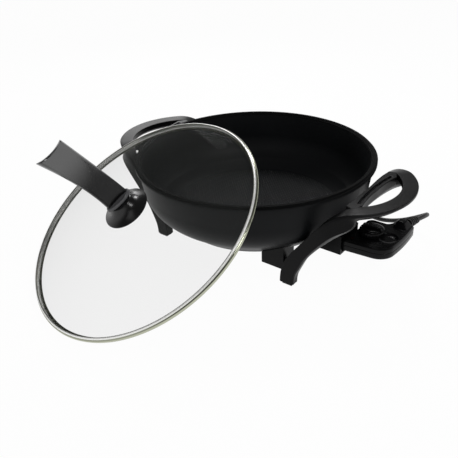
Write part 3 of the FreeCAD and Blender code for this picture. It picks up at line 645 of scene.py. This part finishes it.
class GRILLPAN_OT_lid(bpy.types.Operator):
    """Model the glass dome and its rolled steel rim"""

    bl_idname = "grill_pan.lid"
    bl_label = "Lid"

    def execute(self, context):
        sides = sizes().smoothness
        edge = LID_RADIUS - 2.6
        under = dome_rings(0.4, edge, LID_DOME - GLASS, -1.4, 14)[::-1]
        over = dome_rings(0.4, edge, LID_DOME, GLASS - 1.4, 14)
        glass = settle(turned(under + over, sides), "lid_glass_dome", LID_PLACE)
        finish_piece(glass, "glass", "lid", "lid_glass")
        out = LID_RADIUS
        roll = [
            (out - 4.0, -3.0), (out - 1.7, -2.8), (out - 0.6, -1.9), (out - 0.1, -0.4),
            (out - 0.2, 0.9), (out - 0.9, 2.0), (out - 1.7, 2.3), (out - 1.9, 2.8),
            (out - 2.1, 3.7), (out - 2.9, 4.5), (out - 3.7, 4.6), (out - 4.5, 4.3),
            (out - 4.7, 3.95), (out - 3.2, 3.8), (out - 2.55, 2.7), (out - 2.55, -1.5),
            (out - 4.0, -2.2), (out - 7.4, -2.3), (out - 7.4, -3.0), (out - 4.0, -3.0),
        ]
        rim = settle(turned(roll, sides, closed=False), "lid_rim_band", LID_PLACE, 50)
        finish_piece(rim, "rim_steel", "lid", "lid_rim")
        return {"FINISHED"}


class GRILLPAN_OT_handle(bpy.types.Operator):
    """Model the lid's flared knob base, its collar and the tall dished paddle"""

    bl_idname = "grill_pan.handle"
    bl_label = "Lid handle"

    def execute(self, context):
        low = LID_DOME + 1.05
        flare = [
            (12.0, low), (29.2, low), (29.85, low + 0.6), (29.6, low + 1.4), (27.0, low + 2.6),
            (23.6, low + 4.3), (20.6, low + 6.4), (18.2, low + 8.9), (16.4, low + 11.6),
            (15.2, low + 14.0), (14.6, 44.6), (14.0, 45.0),
        ]
        base = settle(turned(flare, 96, 0.5, angle=50), "lid_knob_base", LID_PLACE, 40)
        finish_piece(base, "phenolic", "lid", "knob_base", look="knob")
        turns = [math.tau * step / 64 for step in range(64)]
        band = [(9.2 * math.cos(turn), 18.6 * math.sin(turn)) for turn in turns]
        collar = plate(band, [(HANDLE_FOOT, 1.0), (49.05, 0.94)], 0.9, 40)
        crescent = outline(
            (4.4, -9.5), [(8.0, 0, -1.6), (4.4, 9.5, -1.6), (3.6, 0, -0.4), (4.4, -9.5, -0.4)]
        )[:-1]
        notch = plate(crescent, [(47.0, 1.0), (50, 1.0)])
        collar = settle(cut_by(collar, notch), "lid_handle_collar", LID_PLACE)
        finish_piece(collar, "collar_grey", "lid", "knob_collar")
        paddle = settle(self.paddle(), "lid_handle_paddle", LID_PLACE, 40)
        finish_piece(paddle, "phenolic", "lid", "lid_handle", look="handle")
        return {"FINISHED"}

    def paddle(self):
        """A sheet of faces shaped to the dish and the fish tail, then given its thickness."""
        foot, tail_radius = HANDLE_FOOT, 30.0
        across, along = 24, 40
        bpy.ops.object.select_all(action="DESELECT")
        bpy.ops.mesh.primitive_grid_add(x_subdivisions=across, y_subdivisions=along, size=2)
        piece = bpy.context.object
        for vertex in piece.data.vertices:
            side, share = vertex.co.x, (vertex.co.y + 1) / 2
            low = -15.5 - 19.3 * share**2
            high = 15.5 - 15.0 * share
            y = (low + high) / 2 + (high - low) / 2 * side
            hollow = math.sqrt(max(0, tail_radius**2 - (y + 17) ** 2))
            top = foot + HANDLE_LENGTH + 22 - hollow
            z = foot + (top - foot) * share
            dish = (1.0 + 2.2 * share) * (1 - side * side)
            lip = 0.5 * max(0.0, (abs(side) - 0.84) / 0.16)
            vertex.co = Vector((lip - dish, y, z)) * MM
        modify(piece, "SOLIDIFY", thickness=4.5 * MM, offset=0.0, use_even_offset=False)
        soften(piece, 1.1, 50)
        return piece


# Sections of a leg from its foot up to the bow. Corners are (x, distance from the middle, height):
# back and front of the edge on the pan's side, front, lower front, and the two of the far edge
LEG_SECTIONS = [
    [(99, 73, 2.6), (99, 86, 2.6), (102, 86, 2.6), (117, 86, 2.6),
     (118.5, 84, 2.6), (118.5, 73, 2.6)],
    [(99, 73, 6), (99, 86, 6), (102, 86, 6), (117, 86, 6), (118.5, 84, 6), (118.5, 73, 6)],
    [(99.5, 73, 17), (99.5, 86, 17), (103, 86, 17), (118, 86, 17),
     (119.5, 83.5, 17), (119.5, 73, 17)],
    [(103, 73, 30), (103, 86, 30), (107, 86, 30), (124, 86, 30), (126.5, 83, 30), (126, 72.5, 30)],
    [(110, 73, 45), (110, 86, 45), (114, 86, 45), (131, 86, 45), (133, 82.5, 45), (132, 72, 45)],
    [(123, 73, 62), (123, 86, 62), (127, 86, 62), (143, 86, 62), (146, 81, 62), (145, 70, 62)],
    [(137, 73, 80), (137, 86, 80), (141, 86, 80), (157, 86, 79), (161.5, 79, 79), (159, 66, 80)],
    [(149, 74, 97), (149, 86, 97), (153, 86, 96), (169, 85, 92), (176, 75, 92), (171, 60, 95)],
    [(161, 70, 111), (161.5, 83, 110), (166, 84, 107), (182, 80, 99),
     (187, 70, 99), (180, 57, 103)],
    [(172, 62, 120), (175, 78, 119.5), (179, 79, 116), (191, 74, 106),
     (191, 65, 105.5), (185, 54, 109)],
]
LINE_CREASES = [0.75, 0.85, 0.35, 0.6, 0.5, 0.5]
# The bow's section, as (distance from the bow's centre, height), turned about that centre
BOW_CENTRE = 137.0
BOW_SECTION = [
    (71.8, 122.4), (91.2, 122.4), (91.2, 118.4), (82.5, 110.9), (76.5, 110.6), (71.8, 114.6),
]


class GRILLPAN_OT_mouldings(bpy.types.Operator):
    """Model the two handle-and-leg mouldings: bowed grip, raked legs, tie and bosses"""

    bl_idname = "grill_pan.mouldings"
    bl_label = "Mouldings"

    def execute(self, context):
        parts = [self.ribbon(), self.tie(), self.boss(-1), self.boss(1)]
        right = settle(join(*parts), "right_handle_moulding", PAN_PLACE, 32)
        left = copy_of(right, "left_handle_moulding", math.pi)
        finish_piece(right, "phenolic", "base", "right_moulding")
        finish_piece(left, "phenolic", "base", "left_moulding")
        return {"FINISHED"}

    def ribbon(self):
        """One band from the near foot, up and round the bow, down to the far foot."""
        near = [[(x, -deep, z) for x, deep, z in section] for section in LEG_SECTIONS]
        far = [list(section) for section in LEG_SECTIONS[::-1]]
        bow = []
        for turn in range(-52, 53, 8):
            across, along = math.cos(math.radians(turn)), math.sin(math.radians(turn))
            bow.append([(BOW_CENTRE + r * across, r * along, z) for r, z in BOW_SECTION])
        return lofted(near + bow + far, LINE_CREASES, 3)

    def tie(self):
        """The bar on the pan's side, with a toothed groove along its top."""
        bar_plan = outline(
            (171.0, -57),
            [(181.5, -60), (187, -47), (183.2, 0, 1.5), (187, 47, 1.5), (181.5, 60), (171.0, 57)],
        )
        groove_plan = outline(
            (179.2, -45),
            [(175.2, 0, 1.1), (179.2, 45, 1.1), (182.2, 44), (178.6, 0, -0.9), (182.2, -44, -0.9)],
        )
        bar = plate(bar_plan, [(111.0, 1.0), (121.6, 1.0)])
        groove = plate(groove_plan, [(117.0, 1.0), (130, 1.0)])
        bar = soften(cut_by(bar, groove), 0.8, 40)
        teeth = []
        tooth_pitch, groove_middle, twice_groove_radius = 3.2, 176.9, 510
        for number in range(-13, 14):
            y = number * tooth_pitch
            x = groove_middle + y * y / twice_groove_radius
            tooth = [(x - 2.0, y - 0.6), (x + 2.0, y - 0.6), (x + 2.0, y + 0.6), (x - 2.0, y + 0.6)]
            teeth.append(plate(tooth, [(116.5, 1.0), (120.2, 1.0)]))
        return join(bar, *teeth)

    def boss(self, end):
        """The block under the base that takes the moulding's screw, with webs up to the bowl."""
        block = self.block(70.5, 104, 61.0 * end, 85.6 * end, 21.5, 61)
        lug_room = self.block(60, 87.5, 50 * end, 78 * end, 34.9, 70)
        bowl = turned([(109.1, 34.9), (112.6, 38.7), (138.6, 57.9), (152, 75), (152, 90)], 128)
        well = moved(turned([(5.6, 18), (5.6, 29)], 40), 79, 70 * end, 0)
        return soften(cut_by(block, lug_room, bowl, well), 0.9, 40)

    def block(self, left, right, start, stop, low, high):
        near, far = sorted((start, stop))
        corners = [(left, near), (right, near), (right, far), (left, far)]
        return plate(corners, [(low, 1.0), (high, 1.0)])


class GRILLPAN_OT_control(bpy.types.Operator):
    """Model the plug-in heat control's case, with its dished recess and ridge"""

    bl_idname = "grill_pan.control"
    bl_label = "Heat control"

    def execute(self, context):
        plan = outline(
            (155.2, -22),
            [(191, -19), (213, 3, -6.0), (213, 59, -1.5), (208, 64, -1.6), (188, 64),
             (181, 47, 3.0), (163, 47), (155.2, 39, -2.0)],
        )
        middle = (184, 20)
        lower = plate(plan, [(35.0, 0.965), (38.0, 1.0), (44.0, 1.0)], 0.8, 30, middle)
        lower = settle(lower, "control_case_lower", PAN_PLACE)
        finish_piece(lower, "control_plastic", "control", "control_lower_shell")
        levels = [(44.1, 0.992), (44.6, 1.0), (49.2, 1.0), (51.95, 0.955)]
        upper = plate(plan, levels, 0, 30, middle)
        dip = [(5.0, 48.7), (8.0, 48.9), (11.0, 49.8), (12.6, 51.0), (13.4, 52.3), (14.2, 54.0)]
        recess = moved(turned(dip, 64), 197.5, 14, 0)
        upper = soften(cut_by(upper, recess), 0.9, 28)
        ridge = self.ridge()
        upper = settle(join(upper, ridge), "control_case_upper", PAN_PLACE)
        finish_piece(upper, "control_plastic", "control", "control_upper_shell")
        return {"FINISHED"}

    def ridge(self):
        """The hipped block over the cord's entry."""
        bpy.ops.object.select_all(action="DESELECT")
        bpy.ops.mesh.primitive_cube_add(size=2)
        piece = bpy.context.object
        for vertex in piece.data.vertices:
            right, back, top = (side > 0 for side in vertex.co)
            x = (203.5 if right else 193.5) if top else (211.5 if right else 189.5)
            y = (58 if back else 48.5) if top else (62.5 if back else 40)
            vertex.co = Vector((x, y, 59.4 if top else 50)) * MM
        return soften(piece, 1.3, 15)


class GRILLPAN_OT_dial(bpy.types.Operator):
    """Model the temperature dial with its fluted skirt, stepped face and grip bar"""

    bl_idname = "grill_pan.dial"
    bl_label = "Dial"

    def execute(self, context):
        face = [
            (15.6, 52.45), (16.4, 53.0), (16.4, 57.6), (15.6, 59.2), (14.2, 60.0), (12.9, 60.1),
            (12.5, 59.5), (11.0, 59.4), (10.6, 60.2), (9.4, 60.6),
        ]
        dial = turned(face, 192)
        flutes, flute_depth = 24, 0.028
        for vertex in dial.data.vertices:
            reach = math.hypot(vertex.co.x, vertex.co.y) / MM
            if reach > 15.9 and vertex.co.z < 58.6 * MM:
                turn = math.atan2(vertex.co.y, vertex.co.x)
                flute = 1 - flute_depth * max(0.0, math.cos(turn * flutes)) ** 2
                vertex.co.x *= flute
                vertex.co.y *= flute
        grip = outline(
            (-12.4, -2.6), [(12.4, -1.6), (12.4, 1.6, -0.8), (-12.4, 2.6), (-12.4, -2.6, -0.8)]
        )
        bar = plate(grip, [(58.5, 1.12), (63.9, 0.94)], 0.9, 30)
        dial = settle(moved(join(dial, bar), 176, 12, 0), "heat_dial", PAN_PLACE, 30)
        finish_piece(dial, "control_plastic", "dial", "temperature_dial")
        return {"FINISHED"}


class GRILLPAN_OT_boot(bpy.types.Operator):
    """Model the ribbed strain relief and the plug on the cord's far end"""

    bl_idname = "grill_pan.boot"
    bl_label = "Cord fittings"

    def execute(self, context):
        finish_piece(self.boot(), "rubber", "control", "strain_relief")
        finish_piece(self.plug(), "rubber", "control", "plug_body")
        return {"FINISHED"}

    def boot(self):
        """A tapered boot with grooves round it, from the cord to inside the case."""
        rings = [(4.3, 0.0), (4.6, 0.5)]
        for rib in range(4):
            low = 4.0 + 4.4 * rib
            out = 4.6 + 0.109 * low
            rings += [(out, low - 0.3), (out - 0.3, low), (out - 1.5, low + 0.2)]
            rings += [(out - 1.5, low + 1.5), (out - 0.2, low + 1.8)]
        rings += [(6.9, 21.0), (6.8, 21.9), (4.2, 22.0), (4.2, 28.0)]
        boot = turned(rings, 64)
        towards = Vector(LEAD[0]) - Vector(LEAD[1])
        turn = towards.to_track_quat("Z", "Y").to_matrix().to_4x4()
        place = Matrix.Translation(at_pan(*LEAD[0])) @ turn
        return settle(boot, "cord_boot", place, 30)

    def plug(self):
        """A ribbed grip behind the flat face that carries the two pins."""
        end = Vector(COIL_START) + Vector((0, COIL_RADIUS * 2, COIL_LAYER))
        rings = [(4.4, 0.2), (4.6, 0.8), (6.4, 11.0), (7.6, 12.2)]
        for rib in range(5):
            low = 14.0 + 3.6 * rib
            rings += [(8.3, low), (8.3, low + 1.9), (7.6, low + 2.3), (7.6, low + 3.0)]
        rings += [(8.3, 32.6), (8.3, 35.5)]
        grip = turned(rings, 64)
        oval = outline(
            (-6.7, -12),
            [(-2, -16.8, 1.2), (2, -16.8), (6.7, -12, 1.2), (6.7, 12),
             (2, 16.8, 1.2), (-2, 16.8), (-6.7, 12, 1.2)],
        )
        face = plate(oval, [(34.1, 0.93), (35.6, 1.0), (43.95, 1.0)], 0.7, 40)
        place = Matrix.Translation(at_pan(*end)) @ Matrix.Rotation(math.radians(90), 4, "Y")
        return settle(join(grip, face), "cord_plug", place, 30)


class GRILLPAN_OT_finishes(bpy.types.Operator):
    """Give every solid of the frame its finish"""

    bl_idname = "grill_pan.finishes"
    bl_label = "Finishes"

    def execute(self, context):
        slots = {part["node"]: part["material_slot"] for part in frame["record"]["subparts"]}
        for node, solid in frame["nodes"].items():
            solid.data.materials.clear()
            solid.data.materials.append(material(slots[node]))
        return {"FINISHED"}


# The camera, in millimetres about the pan's axis
CAMERA_PLACE = (450.417, -619.783, 455.093)
CAMERA_AIM = (41.24, -114.49, 75.0)
CAMERA_ROLL = math.radians(-2.280)


class GRILLPAN_OT_stage(bpy.types.Operator):
    """Add the camera, the plain pale floor, the sky and the lamps"""

    bl_idname = "grill_pan.stage"
    bl_label = "Stage"

    def execute(self, context):
        self.camera(context)
        self.floor()
        self.sky(context)
        for name, place, aim, size, power in (
            ("left_softbox", (-760, 580, 640), (-100, 0, 90), (0.3, 0.7), 2.2),
            ("back_softbox", (-240, 660, 950), (50, 85, 47), (0.3, 0.3), 4.5),
            ("right_softbox", (805, -156, 916), (120, -60, 100), (0.2, 0.3), 2.4),
            ("front_softbox", (150, -900, 900), (0, -100, 80), (0.8, 0.4), 0.8),
        ):
            self.lamp(name, at_pan(*place), at_pan(*aim), size, power)
        context.scene.view_settings.view_transform = "Standard"
        return {"FINISHED"}

    def camera(self, context):
        place, aim = at_pan(*CAMERA_PLACE), at_pan(*CAMERA_AIM)
        bpy.ops.object.camera_add(location=place)
        camera = context.object
        camera.name = "photo_camera"
        look = (aim - place).to_track_quat("-Z", "Y").to_matrix()
        camera.matrix_world = Matrix.Translation(place) @ (
            look @ Matrix.Rotation(CAMERA_ROLL, 3, "Z")
        ).to_4x4()
        camera.data.lens = sizes().lens
        camera.data.sensor_width = 36
        camera.data.clip_end = 50
        context.scene.camera = camera

    def lamp(self, name, place, aim, size, power):
        bpy.ops.object.light_add(type="AREA", location=place)
        lamp = bpy.context.object
        lamp.name = name
        lamp.rotation_euler = (aim - place).to_track_quat("-Z", "Y").to_euler()
        lamp.data.shape = "RECTANGLE"
        lamp.data.size, lamp.data.size_y = size
        lamp.data.energy = power

    def floor(self):
        bpy.ops.mesh.primitive_plane_add(size=sizes().floor_size, location=(0, 0, -0.0006))
        floor = bpy.context.object
        floor.name = "floor"
        bpy.ops.object.transform_apply(location=True, rotation=True, scale=True)
        finish = Finish("floor")
        rays = self.white_rays(finish)
        speck = finish.noise(0.4, 1.0)
        colour = finish.colour(speck, tuple(colours().floor), shade(tuple(colours().floor), 1.02))
        matt = finish.node("ShaderNodeBsdfDiffuse", {}, Color=colour)
        white = finish.node("ShaderNodeEmission", {}, Color=(1, 1, 1, 1), Strength=1.0)
        mixed = finish.node("ShaderNodeMixShader", {}, rays * 0.97, matt, white)
        finish.link(mixed, finish.output.inputs[0])
        floor.data.materials.append(finish.material)

    def white_rays(self, finish):
        """1 for rays from the camera, and those that metal and glass pass on."""
        path = finish.tree.nodes.new("ShaderNodeLightPath")
        seen = [Term(finish, path.outputs[n]) for n in
                ("Is Camera Ray", "Is Glossy Ray", "Is Transmission Ray")]
        return seen[0].most(seen[1]).most(seen[2])

    def sky(self, context):
        world = bpy.data.worlds.new("sky")
        world.use_nodes = True
        context.scene.world = world
        tree = world.node_tree
        back = tree.nodes["Background"]
        path = tree.nodes.new("ShaderNodeLightPath")
        most = []
        for first, second in (("Is Camera Ray", "Is Glossy Ray"), (None, "Is Transmission Ray")):
            larger = tree.nodes.new("ShaderNodeMath")
            larger.operation = "MAXIMUM"
            tree.links.new(path.outputs[first] if first else most[-1], larger.inputs[0])
            tree.links.new(path.outputs[second], larger.inputs[1])
            most.append(larger.outputs[0])
        glow = self.glow(tree)
        level = tree.nodes.new("ShaderNodeMix")
        level.inputs["A"].default_value = 0.30
        tree.links.new(most[-1], level.inputs["Factor"])
        tree.links.new(glow, level.inputs["B"])
        seen = tree.nodes.new("ShaderNodeMath")
        seen.operation = "MAXIMUM"
        tree.links.new(path.outputs["Is Camera Ray"], seen.inputs[0])
        tree.links.new(level.outputs[0], seen.inputs[1])
        tree.links.new(seen.outputs[0], back.inputs["Strength"])
        back.inputs["Color"].default_value = (1, 1, 1, 1)

    def glow(self, tree):
        """White round the horizon and dim overhead, as in a studio with a plain backdrop."""
        place = tree.nodes.new("ShaderNodeTexCoord")
        parts = tree.nodes.new("ShaderNodeSeparateXYZ")
        tree.links.new(place.outputs["Generated"], parts.inputs[0])
        height = tree.nodes.new("ShaderNodeMapRange")
        height.interpolation_type = "SMOOTHSTEP"
        height.inputs["From Min"].default_value = 0.05
        height.inputs["From Max"].default_value = 0.45
        height.inputs["To Min"].default_value = 1.0
        height.inputs["To Max"].default_value = 0.12
        tree.links.new(parts.outputs["Z"], height.inputs["Value"])
        return height.outputs[0]


# The cord's corner points, in millimetres about the pan's axis
LEAD = [
    (206.2, 87.0, 47.4),
    (209.9, 105.0, 45.8),
    (207.8, 122.8, 39.4),
    (198.8, 136.6, 28.8),
    (183.2, 142.6, 16.8),
    (164.6, 140.4, 7.6),
    (144.0, 134.0, 3.6),
    (125.0, 133.0, 3.4),
    (107.0, 138.5, 3.4),
    (91.5, 149.0, 3.4),
    (75.5, 158.5, 3.4),
    (57.5, 167.0, 3.4),
    (37.5, 176.5, 3.4),
    (14.5, 184.5, 3.4),
    (-9.0, 189.0, 3.4),
]
COIL_START = (-32.0, 190.0, 3.4)
COIL_RADIUS = 42.0
COIL_PITCH = 8.2
COIL_LAYER = 8.0
# The cord runs a little inside its corner points, so a coil's points stand out by this factor
COIL_OUTSET = 1.013


def coil_points():
    """The coil as points: two turns inwards on the floor, a half turn up, two turns out on top."""
    radius = sizes().cord_diameter / MM / 2
    centre = Vector(COIL_START) + Vector((-radius * 2, COIL_RADIUS, 0))
    inwards = [COIL_RADIUS - COIL_PITCH * step / 2 for step in range(5)]
    radii = inwards + inwards[::-1]
    steps_per_half = 8
    points = []
    for half in range(len(radii) - 1):
        for step in range(steps_per_half):
            share = step / steps_per_half
            turn = -math.pi / 2 - math.pi * (half + share)
            reach = (radii[half] + (radii[half + 1] - radii[half]) * share) * COIL_OUTSET
            low = COIL_LAYER if half > 4 else 0
            rise = COIL_LAYER * share if half == 4 else low
            points.append(centre + Vector((math.cos(turn) * reach, math.sin(turn) * reach, rise)))
    end = centre + Vector((0, COIL_RADIUS, COIL_LAYER))
    points.append(end)
    points.append(end + Vector((radius * 2, 0, 0)))
    return points


class GRILLPAN_OT_cord(bpy.types.Operator):
    """Lay the flexible cord from the control to the coil and its plug"""

    bl_idname = "grill_pan.cord"
    bl_label = "Cord"

    def execute(self, context):
        route = [Vector(p) for p in LEAD + [COIL_START]] + coil_points()
        line = bpy.data.curves.new("cord", "CURVE")
        line.dimensions = "3D"
        spline = line.splines.new("NURBS")
        spline.points.add(len(route) - 1)
        for point, place in zip(spline.points, route):
            point.co = (*at_pan(*place), 1)
        spline.order_u = 3
        spline.use_endpoint_u = True
        line.resolution_u = 8
        line.bevel_depth = sizes().cord_diameter / 2
        line.bevel_resolution = 5
        line.use_fill_caps = True
        cord = bpy.data.objects.new("mains_cord", line)
        context.scene.collection.objects.link(cord)
        line.materials.append(material("cord"))
        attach(cord, "control")
        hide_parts("cord_lead", "cord_coil")
        return {"FINISHED"}


class GRILLPAN_PT_panel(bpy.types.Panel):
    """The grill pan's pieces and their sizes"""

    bl_idname = "GRILLPAN_PT_panel"
    bl_label = "Grill Pan"
    bl_space_type = "VIEW_3D"
    bl_region_type = "UI"
    bl_category = "Grill Pan"

    def draw(self, context):
        for group in (context.scene.grill_pan_sizes, context.scene.grill_pan_colours):
            for name in group.__annotations__:
                self.layout.prop(group, name)
        for step in OPERATORS:
            self.layout.operator(step.bl_idname)


OPERATORS = (
    GRILLPAN_OT_stage,
    GRILLPAN_OT_finishes,
    GRILLPAN_OT_mouldings,
    GRILLPAN_OT_lid,
    GRILLPAN_OT_handle,
    GRILLPAN_OT_control,
    GRILLPAN_OT_dial,
    GRILLPAN_OT_boot,
    GRILLPAN_OT_cord,
)
CLASSES = (GrillPanSizes, GrillPanColours, *OPERATORS, GRILLPAN_PT_panel)


def register():
    for new_class in CLASSES:
        bpy.utils.register_class(new_class)
    bpy.types.Scene.grill_pan_sizes = PointerProperty(type=GrillPanSizes)
    bpy.types.Scene.grill_pan_colours = PointerProperty(type=GrillPanColours)


def unregister():
    del bpy.types.Scene.grill_pan_colours
    del bpy.types.Scene.grill_pan_sizes
    for old_class in reversed(CLASSES):
        bpy.utils.unregister_class(old_class)


def main():
    register()
    for step in OPERATORS:
        piece = getattr(bpy.ops.grill_pan, step.bl_idname.split(".")[1])
        piece()


if __name__ == "__main__":
    main()
